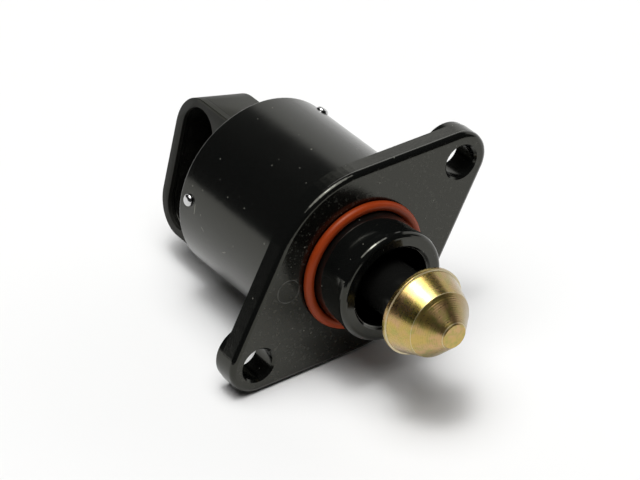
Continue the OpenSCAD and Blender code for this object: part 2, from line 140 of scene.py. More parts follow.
class Tree:
    def __init__(self, tree):
        self.nodes, self.links = tree.nodes, tree.links

    def put(self, kind, settings=None, values=None, out=0):
        node = self.nodes.new(kind)
        for key, value in (settings or {}).items():
            setattr(node, key, value)
        for key, value in (values or {}).items():
            self.feed(node.inputs[key], value)
        return Wire(self, node.outputs[out])

    def feed(self, slot, value):
        if isinstance(value, Wire):
            self.links.new(value.socket, slot)
        elif hasattr(value, "__len__") and len(value) == 3 and slot.type == "RGBA":
            slot.default_value = (*value, 1)
        else:
            slot.default_value = value

    def outputs(self, wire):
        return {s.name: Wire(self, s) for s in wire.socket.node.outputs}

    def mix(self, share, a, b):
        return self.put("ShaderNodeMix", {"data_type": "RGBA"}, {0: share, 6: a, 7: b}, out=2)


class Paint(Tree):
    def __init__(self, name, **fixed):
        self.material = bpy.data.materials.new(name)
        self.material.use_nodes = True
        super().__init__(self.material.node_tree)
        self.shader = self.nodes["Principled BSDF"]
        self.place = self.put("ShaderNodeTexCoord", out=3)
        for key, value in fixed.items():
            self.give(key.replace("_", " "), value)

    def give(self, name, value):
        self.feed(self.shader.inputs[name], value)

    def axes(self):
        found = self.outputs(self.put("ShaderNodeSeparateXYZ", values={0: self.place}))
        return [found[k] * (1 / mm) for k in "XYZ"]

    # how far the surface itself leans toward each axis
    def facing(self):
        own = self.outputs(self.put("ShaderNodeNewGeometry"))["True Normal"]
        return self.outputs(self.put("ShaderNodeSeparateXYZ", values={0: own}))

    # 1 at a place along an axis, and 0 beyond the band's half width
    def band(self, along, middle, half):
        return (1 - (along - middle).math("ABSOLUTE") / half).clamp()

    # cloudy values round 0.5, size in millimetres
    def noise(self, size, detail=2.0, rough=0.5, stretch=None):
        where = self.place
        if stretch:
            where = self.put("ShaderNodeVectorMath", {"operation": "MULTIPLY"},
                             {0: self.place, 1: stretch})
        return self.put("ShaderNodeTexNoise", None,
                        {"Vector": where, "Scale": 1 / (size * mm), "Detail": detail,
                         "Roughness": rough})

    # 1 inside a speck of dust, for a share of the cells
    def specks(self, spacing, size, share):
        values = {"Vector": self.place, "Scale": 1 / (spacing * mm)}
        cell = self.outputs(self.put("ShaderNodeTexVoronoi", None, values))
        shade = self.outputs(self.put("ShaderNodeSeparateColor", None, {0: cell["Color"]}))
        near = cell["Distance"].below(shade["Green"] * (size / spacing))
        return near * shade["Red"].below(share)

    # 1 on the fine scratches of the can
    def scratches(self, x, y, z):
        clock = math.radians(housingLook["pinClocks"][0])
        radius = (y * y + z * z) ** 0.5
        front, canRadius = scratchMarks["onCan"]
        onCan = x.below(front) * radius.step(canRadius, canRadius + 0.1)
        along = x - housingLook["pinX"]
        across = z * math.cos(clock) - y * math.sin(clock)
        found = 0.0
        for (a1, c1), (a2, c2) in scratchMarks["lines"]:
            run = math.hypot(a2 - a1, c2 - c1)
            ua, uc = (a2 - a1) / run, (c2 - c1) / run
            down = ((along - a1) * ua + (across - c1) * uc).most(0.0).least(run)
            offA, offC = along - a1 - down * ua, across - c1 - down * uc
            apart = (offA * offA + offC * offC) ** 0.5
            line = (1 - apart / scratchMarks["width"]).clamp()
            found = line + found
        return found.clamp() * onCan * y.below(0)

    # normals of an edge rounded from X = -size to X = 0, and the usual ones elsewhere
    def curved(self, own, x, size, edge):
        share = ((x + size) / size).clamp()
        level = (own["Y"] * own["Y"] + own["Z"] * own["Z"]).most(0.0001) ** 0.5
        aside = (1 - share * share).most(0.0) ** 0.5 / level
        bent = self.put("ShaderNodeCombineXYZ", None,
                        {"X": share, "Y": own["Y"] * aside, "Z": own["Z"] * aside})
        usual = self.outputs(self.put("ShaderNodeNewGeometry"))["Normal"]
        return self.mix(edge, usual, bent)

    # height is 0 to 1, depth in millimetres
    def bump(self, height, depth, normal=None):
        values = {"Height": height, "Distance": depth * mm}
        if normal:
            values["Normal"] = normal
        self.give("Normal", self.put("ShaderNodeBump", None, values))
        return self


def makeFloor():
    low, high = resting["flangeBack"], resting["canRear"]
    along = (low - high).normalized()
    half = resting["floorSize"] / 2
    corners = [low + along * a * half + Vector((0, b * half, 0))
               for a, b in ((-1, -1), (1, -1), (1, 1), (-1, 1))]
    mesh = bpy.data.meshes.new("floor")
    mesh.from_pydata(corners, [], [range(4)])
    floor = bpy.data.objects.new("floor", mesh)
    bpy.context.scene.collection.objects.link(floor)
    paint = Paint("floorPaper", Roughness=paperLook["roughness"],
                  Specular_IOR_Level=paperLook["shine"])
    cloud = paint.noise(paperLook["cloud"], 1) * paperLook["shadeShare"]
    paint.give("Base Color", paint.mix(cloud, paperLook["colour"], paperLook["shade"]))
    floor.data.materials.append(paint.material)


def makeWorld():
    world = bpy.data.worlds.new("studio")
    world.use_nodes = True
    bpy.context.scene.world = world
    tree = Tree(world.node_tree)
    ground = world.node_tree.nodes["Background"]
    ray = tree.outputs(tree.put("ShaderNodeLightPath"))["Is Camera Ray"]
    way = tree.outputs(tree.put("ShaderNodeSeparateXYZ", values={
        0: tree.put("ShaderNodeTexCoord")}))
    edge = studio["softEdge"]
    toward = way["X"] * studio["backToward"][0] + way["Y"] * studio["backToward"][1]
    level = (1 - way["Z"] * way["Z"]).most(0.001) ** 0.5
    side = (toward / level).step(studio["backSpread"] - edge, studio["backSpread"] + edge)
    low = 1 - way["Z"].step(studio["backRise"] - edge / 2, studio["backRise"] + edge / 2)
    light = studio["room"] + side * low * (studio["backLight"] - studio["room"])
    tree.feed(ground.inputs["Strength"], light.most(ray))
    tree.feed(ground.inputs["Color"], studio["colour"])


def makeLamps():
    for name, (strength, span) in studio["lamps"].items():
        data = bpy.data.lights.new(name, "SUN")
        data.energy = strength
        data.angle = math.radians(span)
        lamp = bpy.data.objects.new(name, data)
        lamp.rotation_euler = Vector(studio["lampFrom"]).to_track_quat("Z", "Y").to_euler()
        bpy.context.scene.collection.objects.link(lamp)


makeCamera()
makeFloor()
makeWorld()
makeLamps()
print("camera, floor and lamps made")


# Materials: lengths are in millimetres, and places are those of the valve's axes

aroundX = (1, 0.02, 0.02)    # stretches a noise into marks that run round X

housingLook = {
    "gloss": (0.0035, 0.0038, 0.0036),
    "matt": (0.0040, 0.0041, 0.0034),
    "tint": (1.0, 1.0, 0.86),             # warm cast of the reflections
    "canRoughness": 0.17,
    "faceRoughness": 0.165,
    "wallRoughness": 0.13,
    "topWallRoughness": 0.24,
    "spigotRoughness": 0.10,
    "edgeRoughness": 0.11,
    "cloud": 7,
    "cloudRoughness": 0.07,
    "grain": 0.22,
    "grainRoughness": 0.06,
    "grainDepth": 0.010,
    "ripple": 2.2,
    "streak": 0.3,                        # size of the streaks in the walls' relief and in the painted sheen on the upper wall
    "dust": (1.3, 0.16, 0.42),            # spacing, size and share of the specks
    "dustColour": (0.20, 0.20, 0.17),
    "dustShare": 0.6,
    "dustRoughness": 0.3,
    "fineDust": ((0.75, 0.34, 0.45), (0.42, 0.20, 0.35)),
    "fineShare": 0.10,                    # strength of the fine dust on the flange's face
    "topSheen": (0.046, 0.046, 0.039),     # painted sheen on the flange's upper wall
    # colour of the painted highlights on the edges
    "edgeShine": (0.16, 0.16, 0.15),
    "spigotFrom": (0.3, 7.0),             # X and radius where the spigot starts
    "boreEdge": (8.72, 7.70),             # X and radius of the bore's edge, where a highlight is painted
    "boreGlintShare": 0.8,
    "flangeEdge": -0.98,                  # X where the flange's rounded edge starts
    "flangeBack": -3.9,
    "flangeRound": 0.95,
    "flangeGlintShare": 0.7,
    "wallRadius": 17.5,                   # where the flange's walls and edge leave the can
    "edgeRadius": 14,
    "holeFrom": (25.0, 4.2),              # from the middle to a bolt hole, and clear of its edge
    "mark": (-15.16, 0.04, 2.2),          # Y, Z and radius of the ejector's mark
    "roll": 30.8,                         # degrees that the valve lies turned
    "pinClocks": (165.9, 45.9, 285.9),
    "pinX": -28.6,
    "dimple": 1.9,                        # radius of the dished plastic round each pin
    "dimpleDepth": 0.15,
    "dimpleFloor": 0.6,                   # height at which its middle levels off
}
# Ends of each scratch on the can: millimetres along X and round the can from the first pin
scratchMarks = {
    "onCan": (-4.2, 17.0),                # X behind the flange, and the can's radius
    "width": 0.14,
    "lines": (((2.04, -0.07), (2.16, 1.61)),
              ((11.4, 4.7), (12.1, 4.3)),
              ((4.6, 3.1), (5.3, 3.5))),
}


# Dished plastic round each pin, 1 at its middle
def pinDimples(x, y, z):
    look = housingLook
    pit = 0.0
    for clock in look["pinClocks"]:
        turn = math.radians(clock)
        across = y * math.sin(turn) - z * math.cos(turn)
        outward = y * math.cos(turn) + z * math.sin(turn)
        along = x - look["pinX"]
        apart = (across * across + along * along) ** 0.5
        hollow = (1 - apart / look["dimple"]).clamp() * outward.above(0)
        pit = pit + hollow.math("SMOOTH_MIN", look["dimpleFloor"])
    return pit


# 1 away from the two bolt holes
def clearOfHoles(y, z):
    middle, clear = housingLook["holeFrom"]
    turn = math.radians(housingLook["roll"])
    along = (y * math.cos(turn) + z * math.sin(turn)).math("ABSOLUTE") - middle
    across = z * math.cos(turn) - y * math.sin(turn)
    return ((along ** 2 + across ** 2) ** 0.5).above(clear)


def blackHousing():
    look = housingLook
    paint = Paint("blackHousing", IOR=1.5, Specular_Tint=look["tint"])
    x, y, z = paint.axes()
    radius = (y * y + z * z) ** 0.5
    own = paint.facing()
    lean = own["X"]
    # where each surface lies, 0 to 1
    spigotX, spigotRadius = look["spigotFrom"]
    spigot = x.step(spigotX, spigotX + 0.2) * radius.step(spigotRadius, spigotRadius + 0.2)
    face = lean.step(0.94, 0.98) * x.step(-0.2, -0.1) * (1 - x.step(0.1, 0.2))
    clear = clearOfHoles(y, z)
    wall = (x.step(look["flangeBack"], look["flangeBack"] + 0.1) * lean.below(0.1)
            * radius.step(look["wallRadius"], look["wallRadius"] + 0.2) * clear)
    topWall = wall * own["Z"].step(0.92, 0.995)
    edge = (x.above(look["flangeEdge"]) * x.below(-0.004) * lean.above(0.1) * lean.below(0.985)
            * radius.above(look["edgeRadius"]) * clear)
    # painted highlights: pale lines on the bore's edge and the flange's upper edge, and glints
    # round the ejector's mark
    boreX, boreRadius = look["boreEdge"]
    boreGlint = paint.band(radius, boreRadius, 0.12) * x.step(boreX - 0.2, boreX - 0.1)
    flangeGlint = paint.band(x, look["flangeEdge"] - 0.12, 0.13) * topWall
    markY, markZ, markRadius = look["mark"]
    fromMark = ((y - markY) * (y - markY) + (z - markZ) * (z - markZ)) ** 0.5
    markGlint = paint.band(fromMark, markRadius, 0.14) * face * paint.noise(1.5, 1).step(0.40, 0.60)
    paleEdges = (boreGlint * look["boreGlintShare"]).most(flangeGlint * look["flangeGlintShare"]).most(markGlint)
    # dust
    cloud = paint.noise(look["cloud"], 3)
    grain = paint.noise(look["grain"], 2, 0.6)
    streak = paint.noise(look["streak"], 2, 0.6, stretch=(1, 0.25, 0.25))
    dust = paint.specks(*look["dust"])
    coarse, fine = [paint.specks(*sizes) for sizes in look["fineDust"]]
    pale = (dust * look["dustShare"]).most(paint.scratches(x, y, z))
    pale = pale.most(coarse.most(fine) * face * look["fineShare"])
    # colour
    plain = paint.mix(face, look["gloss"], look["matt"])
    # painted sheen: the upward-facing wall is paler, in streaks
    plain = paint.mix(topWall * (streak - 0.25), plain, look["topSheen"])
    # the parting groove keeps the plain dark colour, a dark line through the painted sheen
    groove = paint.band(x, look["flangeEdge"] - 0.42, 0.12) * topWall
    plain = paint.mix(groove, plain, look["gloss"])
    # painted highlights on the edges and round the mark
    plain = paint.mix(paleEdges, plain, look["edgeShine"])
    paint.give("Base Color", paint.mix(pale, plain, look["dustColour"]))
    # roughness
    usual = look["canRoughness"]
    rough = (usual + face * (look["faceRoughness"] - usual)
             + wall * (look["wallRoughness"] - usual)
             + topWall * (look["topWallRoughness"] - look["wallRoughness"])
             + edge * (look["edgeRoughness"] - usual)
             + spigot * (look["spigotRoughness"] - usual))
    rough = rough + (cloud - 0.5) * look["cloudRoughness"]
    rough = rough + (grain - 0.5) * look["grainRoughness"]
    paint.give("Roughness", rough + dust * look["dustRoughness"])
    # relief
    height = (grain * (0.12 + face * 0.9) + streak * wall * 0.7 + dust * 1.5
              + paint.noise(look["ripple"], 1) * 0.8)
    height = height - pinDimples(x, y, z) * (look["dimpleDepth"] / look["grainDepth"])
    return paint.bump(height, look["grainDepth"],
                      normal=paint.curved(own, x, look["flangeRound"], edge)).material


sleeveLook = {
    "colour": (0.006, 0.0061, 0.0056),
    "shine": 0.22,
    "roughness": 0.16,
    "cloud": 5,
    "grain": 0.3,
    "grainDepth": 0.010,
    "dust": (1.5, 0.15, 0.12),
    "dustColour": (0.14, 0.14, 0.13),
}


def sleeveBlack():
    look = sleeveLook
    paint = Paint("sleeveBlack", IOR=1.5, Specular_Tint=housingLook["tint"],
                  Specular_IOR_Level=look["shine"])
    cloud = paint.noise(look["cloud"], 3)
    grain = paint.noise(look["grain"], 2, 0.6)
    dust = paint.specks(*look["dust"])
    paint.give("Base Color", paint.mix(dust * 0.4, look["colour"], look["dustColour"]))
    paint.give("Roughness", look["roughness"] + (cloud - 0.5) * 0.10 + (grain - 0.5) * 0.08)
    return paint.bump(grain, look["grainDepth"]).material


coverLook = {
    "dark": (0.0042, 0.0042, 0.0038),
    "pale": (0.012, 0.0122, 0.0102),
    "shine": 0.26,
    "roughness": 0.50,
    "cloud": 5,
    "grain": 0.3,
    "mottle": 0.5,
    "grainDepth": 0.024,
    "dust": (1.5, 0.15, 0.14),
    "dustColour": (0.14, 0.14, 0.13),
    # painted sheen on the connector's top wall
    "topSheen": (0.030, 0.030, 0.025),
    "topWall": 13.2,         # from the connector's middle to its top wall
    "insideRoughness": 0.24,
    "insideHalf": 12.6,
    "insideDepth": 9.2,
    "mouthClock": 165.9,     # direction of the shroud's mouth, in degrees
    "stepAt": 8.5,
    "stepWidth": 0.20,
    # near black: painted shade in the step's groove
    "stepShade": (0.001, 0.001, 0.001),
    "blockFront": -31.2,
}


# The cover's plastic has a fine step round the shroud, near its mouth, painted near black as shade
# in its groove. The shroud's top wall is painted paler, a painted sheen.
def coverBlack():
    look = coverLook
    paint = Paint("satinCover", IOR=1.5, Specular_Tint=housingLook["tint"],
                  Specular_IOR_Level=look["shine"])
    x, y, z = paint.axes()
    clock = math.radians(look["mouthClock"])
    depth = y * math.cos(clock) + z * math.sin(clock)
    height = z * math.cos(clock - math.pi) + y * math.sin(clock)
    block = x.below(look["blockFront"])
    step = paint.band(depth, look["stepAt"], look["stepWidth"]) * block
    top = height.step(look["topWall"] - 0.3, look["topWall"]) * block
    inside = (height.math("ABSOLUTE").below(look["insideHalf"]) * block
              * depth.below(look["insideDepth"]))
    cloud = paint.noise(look["cloud"], 3)
    grain = paint.noise(look["grain"], 2, 0.6)
    mottle = paint.noise(look["mottle"], 3, 0.8)
    dust = paint.specks(*look["dust"])
    plain = paint.mix(mottle.step(0.45, 0.75), look["dark"], look["pale"])
    # painted sheen: the top wall is paler
    plain = paint.mix(top * (0.4 + cloud * 0.5), plain, look["topSheen"])
    plain = paint.mix(dust * 0.5, plain, look["dustColour"])
    # painted shade in the step's groove
    paint.give("Base Color", paint.mix(step, plain, look["stepShade"]))
    rough = look["roughness"] + inside * (look["insideRoughness"] - look["roughness"])
    paint.give("Roughness", rough + (cloud - 0.5) * 0.10 + (mottle - 0.5) * 0.12)
    return paint.bump(grain * 0.6 + mottle * 0.5 - step * 2.5, look["grainDepth"]).material


rubberLook = {
    "deep": (0.25, 0.029, 0.004),
    "bright": (0.34, 0.044, 0.007),
    "tint": (1.0, 0.72, 0.58),
    "shine": 0.30,
    "roughness": 0.36,
    "cloud": 3,
    "grain": 0.12,
    "grainDepth": 0.006,
}


def orangeRubber():
    look = rubberLook
    paint = Paint("orangeRubber", Specular_IOR_Level=look["shine"], Specular_Tint=look["tint"])
    cloud = paint.noise(look["cloud"], 3)
    grain = paint.noise(look["grain"], 2, 0.6)
    paint.give("Base Color", paint.mix(cloud, look["deep"], look["bright"]))
    paint.give("Roughness", look["roughness"] + (grain - 0.5) * 0.12)
    return paint.bump(grain, look["grainDepth"]).material


metalLook = {
    "shade": 0.86,           # of the cloudy patches
    "cloud": 2.5,
    "grain": 0.15,
    "depth": 0.002,
}


# turned is the pitch of turning marks along X
def metal(name, colour, roughness, turned=0.0):
    look = metalLook
    paint = Paint(name, Metallic=1.0)
    cloud = paint.noise(look["cloud"], 3)
    if turned:
        marks, uneven = paint.noise(turned, 2, 0.7, stretch=aroundX), 0.14
    else:
        marks, uneven = paint.noise(look["grain"], 2, 0.6), 0.12
    shade = tuple(c * look["shade"] for c in colour)
    paint.give("Base Color", paint.mix(cloud, colour, shade))
    paint.give("Roughness", roughness + (marks - 0.5) * uneven + (cloud - 0.5) * 0.06)
    return paint.bump(marks, look["depth"]).material


pintleShape = {
    "rimWidth": 0.75,
    "rimRound": 0.11,
    "grooveDepth": 0.35,       # below the rim's radius
    "grooveWidth": 0.18,
    "firstCone": 4.55,
    "midRadius": 6.2,
    "shoulder": (0.3, 0.29),   # along X and inward, from the first cone to the second
    "tipRadius": 2.3,
    "tipBevel": 0.14,
    "tipRound": 0.06,
    "ridgePitch": 0.28,        # turning marks on the second cone
    "ridgeHeight": 0.038,
    "ridgeSteps": 4,           # points to a ridge
    "boreRadius": 4.85,
    "boreDepth": 1.85,
    "screwRadius": 2.55,
    "screwDepth": 5.5,
}
platingLook = {
    "gold": (0.50, 0.355, 0.100),
    "pink": (0.52, 0.330, 0.145),
    "olive": (0.38, 0.345, 0.085),
    "paleEdges": (0.68, 0.600, 0.400),
    "roughness": 0.27,
    "secondRoughness": 0.31,             # of the second cone
    "unevenness": 0.20,
    "sideShade": (0.30, 0.235, 0.130),    # painted shade on the plating's side away from the cover's mouth
    "sideShadeShare": 0.8,
    "ridgeShade": (0.17, 0.150, 0.045),   # painted shade between the ridges of the second cone
    "ridgeShadeShare": 0.35,
    "film": 0.4,                         # clear film on the plating
    "filmRoughness": 0.16,
    "edges": (18.05, 22.60, 26.45),      # X of the rim, the ridge between the cones and the tip
    "edgeHalf": 0.06,
    "hue": 3.0,
    "patch": 1.1,
    "patchShare": 0.8,
    "mottle": 0.35,
    "markWidth": 0.30,                   # turning marks
    "markDepth": 0.012,
}


# Yellow zinc plating: cloudy hues, turning marks, worn bright edges, and painted shade on one side
# and between the ridges
def zincPlating():
    look = platingLook
    paint = Paint("pintlePlating", Metallic=1.0, Coat_Weight=look["film"], Coat_IOR=1.5,
                  Coat_Roughness=look["filmRoughness"])
    x, y, z = paint.axes()
    hue = paint.noise(look["hue"], 2)
    patch = paint.noise(look["patch"], 3, 0.6, stretch=(0.5, 1, 1))
    mottle = paint.noise(look["mottle"], 3, 0.7)
    rings = paint.noise(look["markWidth"], 2, 0.7, stretch=aroundX)
    broken = paint.noise(look["markWidth"], 3, 0.75, stretch=(1, 0.16, 0.16))
    rimEdge, midEdge, tipEdge = look["edges"]
    paleEdges = paint.band(x, rimEdge, look["edgeHalf"])
    for edge in (midEdge, tipEdge):
        paleEdges = paleEdges.most(paint.band(x, edge, look["edgeHalf"]))
    second = x.step(midEdge, midEdge + 0.1)
    tone = paint.mix(hue.step(0.42, 0.60), look["gold"], look["pink"])
    tone = paint.mix(patch.step(0.46, 0.66) * look["patchShare"], tone, look["olive"])
    # painted shade between the ridges of the second cone, in patches
    groove = ((x / pintleShape["ridgePitch"]).math("FRACT") - 0.5).math("ABSOLUTE") * 2
    ridgeShading = groove * second * patch.step(0.40, 0.65) * look["ridgeShadeShare"]
    tone = paint.mix(ridgeShading, tone, look["ridgeShade"])
    # painted shade: the plating is darker on its +Y side, short of the tip
    side = (y / ((y * y + z * z).most(0.01) ** 0.5)).step(0.1, 0.9) * x.below(tipEdge)
    tone = paint.mix(side * look["sideShadeShare"], tone, look["sideShade"])
    paint.give("Base Color", paint.mix(paleEdges.step(0.3, 0.8), tone, look["paleEdges"]))
    rough = look["roughness"] + second * (look["secondRoughness"] - look["roughness"])
    rough = rough + (mottle + broken - 1) * look["unevenness"]
    paint.give("Roughness", rough + paleEdges * 0.25)
    height = broken * (1.3 - second * 0.3) + rings * second * 0.8 + mottle * 0.5
    return paint.bump(height, look["markDepth"]).material


mouldingLook = {
    "shade": 0.88,           # of the cloudy patches
    "cloud": 4,
    "grain": 0.2,
}


def plainMoulding(name, colour, roughness=0.5, depth=0.004):
    paint = Paint(name)
    cloud = paint.noise(mouldingLook["cloud"], 3)
    grain = paint.noise(mouldingLook["grain"], 2, 0.6)
    shade = tuple(c * mouldingLook["shade"] for c in colour)
    paint.give("Base Color", paint.mix(cloud, colour, shade))
    paint.give("Roughness", roughness + (grain - 0.5) * 0.12)
    return paint.bump(grain, depth).material


finishes = {
    "housing_black": blackHousing(),
    "cover_black": coverBlack(),
    "sleeve_black": sleeveBlack(),
    "seal_orange": orangeRubber(),
    "pin_steel": metal("pinSteel", (0.62, 0.62, 0.62), 0.18),
    "shaft_steel": metal("shaftSteel", (0.52, 0.52, 0.53), 0.30, turned=0.12),
    "bearing_steel": metal("bearingSteel", (0.62, 0.62, 0.63), 0.12),
    "stator_steel": metal("statorSteel", (0.34, 0.34, 0.35), 0.42),
    "terminal_tin": metal("terminalTin", (0.60, 0.59, 0.56), 0.34),
    "pintle_gold": zincPlating(),
    "nut_brass": metal("nutBrass", (0.62, 0.46, 0.17), 0.28, turned=0.15),
    "nylon_white": plainMoulding("naturalNylon", (0.68, 0.65, 0.55)),
    "magnet_grey": plainMoulding("sinteredFerrite", (0.045, 0.045, 0.05), 0.55, 0.010),
    "coil_copper": metal("enamelCopper", (0.50, 0.17, 0.055), 0.30),
}
for part in frame["record"]["subparts"]:
    data = nodes[part["node"]].data
    data.materials.clear()
    data.materials.append(finishes[part["material_slot"]])
print("materials made")


# Geometry trees: their inputs are named sizes, and each ends in one painted mesh
class Grow(Tree):
    def __init__(self, name, **sizes):
        self.group = bpy.data.node_groups.new(name, "GeometryNodeTree")
        super().__init__(self.group)
        sockets = self.group.interface
        sockets.new_socket("Geometry", in_out="INPUT", socket_type="NodeSocketGeometry")
        for key, value in sizes.items():
            kind = "NodeSocketInt" if isinstance(value, int) else "NodeSocketFloat"
            sockets.new_socket(key, in_out="INPUT", socket_type=kind).default_value = value
        sockets.new_socket("Material", in_out="INPUT", socket_type="NodeSocketMaterial")
        sockets.new_socket("Geometry", in_out="OUTPUT", socket_type="NodeSocketGeometry")
        self.given = {s.name: Wire(self, s) for s in self.nodes.new("NodeGroupInput").outputs}

    # columns of a sheet of points, as (row, angle round X) for each point
    def rolledSheet(self, rows, columns):
        sheet = self.put("GeometryNodeMeshGrid", None,
                         {"Vertices X": rows, "Vertices Y": columns + 1})
        index = self.put("GeometryNodeInputIndex")
        row = (index / (columns + 1)).math("FLOOR")
        return sheet, row, (index - row * (columns + 1)) * (2 * math.pi) / columns

    def placed(self, sheet, along, radius, angle):
        spot = self.put("ShaderNodeCombineXYZ", None,
                        {"X": along, "Y": radius * angle.math("COSINE"),
                         "Z": radius * angle.math("SINE")})
        moved = self.put("GeometryNodeSetPosition", None, {"Geometry": sheet, "Position": spot})
        return self.put("GeometryNodeMergeByDistance", None, {"Geometry": moved, "Distance": 1e-6})

    def end(self, shape):
        shape = self.put("GeometryNodeRealizeInstances", None, {0: shape})
        shape = self.put("GeometryNodeSetShadeSmooth", None, {"Geometry": shape})
        done = self.put("GeometryNodeSetMaterial", None,
                        {"Geometry": shape, "Material": self.given["Material"]})
        self.links.new(done.socket, self.nodes.new("NodeGroupOutput").inputs[0])
        return self.group


# Turns an outline of points (along X, radius) about X. Waves bend it to and fro along X.
def turningTree():
    tree = Grow("turnedAboutX", Points=2, Segments=96, Waves=0, WaveHeight=0.0)
    sheet, row, angle = tree.rolledSheet(tree.given["Points"], tree.given["Segments"])
    outline = tree.put("GeometryNodeSampleIndex", {"data_type": "FLOAT_VECTOR"},
                       {"Geometry": tree.given["Geometry"], "Index": row,
                        "Value": tree.put("GeometryNodeInputPosition")})
    spot = tree.outputs(tree.put("ShaderNodeSeparateXYZ", None, {0: outline}))
    wave = (angle * tree.given["Waves"]).math("SINE") * tree.given["WaveHeight"]
    return tree.end(tree.placed(sheet, spot["X"] + wave, spot["Y"], angle))


# A rod along X with a rolled thread, and two flats further along
def threadTree():
    tree = Grow("threadedRod", Rows=400, Segments=64, Start=0.0, Length=0.04, Radius=0.0025,
                Depth=0.0004, Pitch=0.001, ThreadEnd=0.01, FlatStart=0.01, FlatEnd=0.02,
                AcrossFlats=0.0038, Roll=0.0, EndTaper=0.0004)
    get = tree.given
    sheet, row, angle = tree.rolledSheet(get["Rows"], get["Segments"])
    share = ((row - 1) / (get["Rows"] - 3)).clamp()
    along = get["Start"] + share * get["Length"]
    turn = (along / get["Pitch"] - angle / (2 * math.pi)).math("FRACT")
    # sloped flanks with a flat crest and a flat root
    tooth = (2.4 * (1 - 2 * (turn - 0.5).math("ABSOLUTE")) - 0.7).clamp()
    threaded = along.below(get["ThreadEnd"])
    toEnd = (along - get["Start"]).least(get["Start"] + get["Length"] - along)
    taper = (get["EndTaper"] - toEnd).most(0.0)
    plain = get["Radius"] - get["Depth"] * (1 - tooth) * threaded - taper
    flat = along.above(get["FlatStart"]) * along.below(get["FlatEnd"])
    lean = (angle - get["Roll"]).math("SINE").math("ABSOLUTE").most(0.01)
    cutTo = get["AcrossFlats"] / (2 * lean) + (1 - flat)
    closed = row.above(0.5) * row.below(get["Rows"] - 1.5)
    return tree.end(tree.placed(sheet, along, plain.least(cutTo) * closed, angle))


# Repeats the piece it is given round X
def circleTree():
    tree = Grow("roundTheAxis", Count=3)
    index = tree.put("GeometryNodeInputIndex")
    spots = tree.put("GeometryNodePoints", None, {"Count": tree.given["Count"]})
    turn = tree.put("ShaderNodeCombineXYZ", None,
                    {"X": index * (2 * math.pi) / tree.given["Count"]})
    copies = tree.put("GeometryNodeInstanceOnPoints", None,
                      {"Points": spots, "Instance": tree.given["Geometry"], "Rotation": turn})
    return tree.end(copies)


trees = {"turned": turningTree(), "threaded": threadTree(), "repeated": circleTree()}


def plainMesh(source):
    bpy.context.scene.collection.objects.link(source)
    bpy.context.view_layer.update()
    graph = bpy.context.evaluated_depsgraph_get()
    mesh = bpy.data.meshes.new_from_object(source.evaluated_get(graph))
    bpy.data.objects.remove(source)
    return mesh


def grownMesh(tree, finish, start=None, **sizes):
    source = bpy.data.objects.new("source", start or bpy.data.meshes.new("source"))
    modifier = source.modifiers.new("tree", "NODES")
    modifier.node_group = trees[tree]
    for item in trees[tree].interface.items_tree:
        if item.in_out == "INPUT" and item.name in sizes:
            modifier[item.identifier] = sizes[item.name]
        elif item.in_out == "INPUT" and item.name == "Material":
            modifier[item.identifier] = finish
    return plainMesh(source)


def turnedMesh(outline, finish, segments=128, waves=0, waveHeight=0.0):
    start = bpy.data.meshes.new("outline")
    start.from_pydata([(x * mm, r * mm, 0) for x, r in outline], [], [])
    return grownMesh("turned", finish, start, Points=len(outline), Segments=segments,
                     Waves=waves, WaveHeight=waveHeight * mm)


# Each inner corner of an outline becomes a short curve, which starts that far before it
def rounded(points, cut):
    steps = 4
    points = [Vector(p) for p in points]
    result = [points[0]]
    for before, corner, after in zip(points, points[1:], points[2:]):
        back, on = before - corner, after - corner
        start = corner + back.normalized() * min(cut, back.length * 0.4)
        end = corner + on.normalized() * min(cut, on.length * 0.4)
        for i in range(steps + 1):
            t = i / steps
            result.append(start * (1 - t) ** 2 + corner * (2 * t * (1 - t)) + end * t ** 2)
    return [tuple(p) for p in result + [points[-1]]]


def circlePoints(x, r, radius, steps):
    angles = [math.radians(360 * i / steps) for i in range(steps + 1)]
    return [(x + radius * math.cos(a), r + radius * math.sin(a)) for a in angles]


def slotOf(node):
    return next(p["material_slot"] for p in frame["record"]["subparts"] if p["node"] == node)


def bodyOf(node):
    bodies = frame["record"]["behaviour"]["bodies"]
    return next(body for body, members in bodies.items() if node in members)


# A finished mesh stands for its CAD nodes
def standsFor(name, mesh, *replaced):
    mesh.name = name
    piece = bpy.data.objects.new(name, mesh)
    bpy.context.scene.collection.objects.link(piece)
    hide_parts(*replaced)
    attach(piece, bodyOf(replaced[0]))


def finishOf(node):
    return finishes[slotOf(node)]


# Box of a CAD node in millimetres: where it starts and ends along X, and its radius
def reach(node):
    low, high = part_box(node)
    return low[0] / mm, high[0] / mm, (high[2] - low[2]) / 2 / mm


softShape = {
    "weld": 0.003,           # millimetres between points that become one
    "flat": 0.4,             # degrees between faces that become one
    "sharp": 32,             # degrees: only sharper edges are softened
    "cover": (0.55, 4),      # width in millimetres, and steps
    "terminal": (0.08, 2),
}


# The moulding's own shape with its sharp edges softened
def softened(name, node, width, steps):
    mesh = nodes[node].data.copy()
    form = bmesh.new()
    form.from_mesh(mesh)
    bmesh.ops.remove_doubles(form, verts=form.verts, dist=softShape["weld"] * mm)
    bmesh.ops.dissolve_limit(form, angle_limit=math.radians(softShape["flat"]),
                             verts=form.verts, edges=form.edges)
    form.to_mesh(mesh)
    form.free()
    source = bpy.data.objects.new("source", mesh)
    bevel = source.modifiers.new("soft", "BEVEL")
    bevel.width = width * mm
    bevel.segments = steps
    bevel.limit_method = "ANGLE"
    bevel.angle_limit = math.radians(softShape["sharp"])
    bevel.harden_normals = True
    for face in mesh.polygons:
        face.use_smooth = True
    standsFor(name, plainMesh(source), node)


softened("cover_moulding", "rear_cover", *softShape["cover"])
for number in (1, 2, 3, 4):
    softened(f"terminal_blade_{number}", f"terminal_{number}", *softShape["terminal"])
print("mouldings softened")


